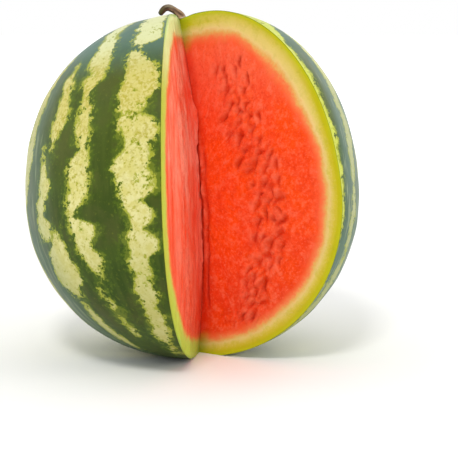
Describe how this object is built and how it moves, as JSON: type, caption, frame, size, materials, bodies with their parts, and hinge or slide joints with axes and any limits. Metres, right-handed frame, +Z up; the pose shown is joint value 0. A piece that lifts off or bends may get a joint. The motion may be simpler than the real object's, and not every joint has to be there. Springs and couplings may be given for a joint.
{
  "type": "watermelon with a wedge cut out",
  "caption": "Round striped watermelon standing upright on a small flat spot, with one upright wedge cut out to show rind and red flesh, and a short dried stalk.",
  "frame": {"origin": "on the surface the fruit rests on, under the middle of its bounding box", "axes": "+Z up; -Y out through the middle of the missing wedge; +X to the right when the cut is seen from in front"},
  "size_m": [0.259, 0.2443, 0.2733],
  "materials": {
    "melon": "satin waxy skin, dark green with jagged pale stripes; cut faces moist, pale rind then red flesh",
    "stalk": "dry, ridged and fibrous, brown-grey"
  },
  "bodies": {
    "root": {"melon": "melon", "stalk": "stalk"}
  },
  "joints": []
}
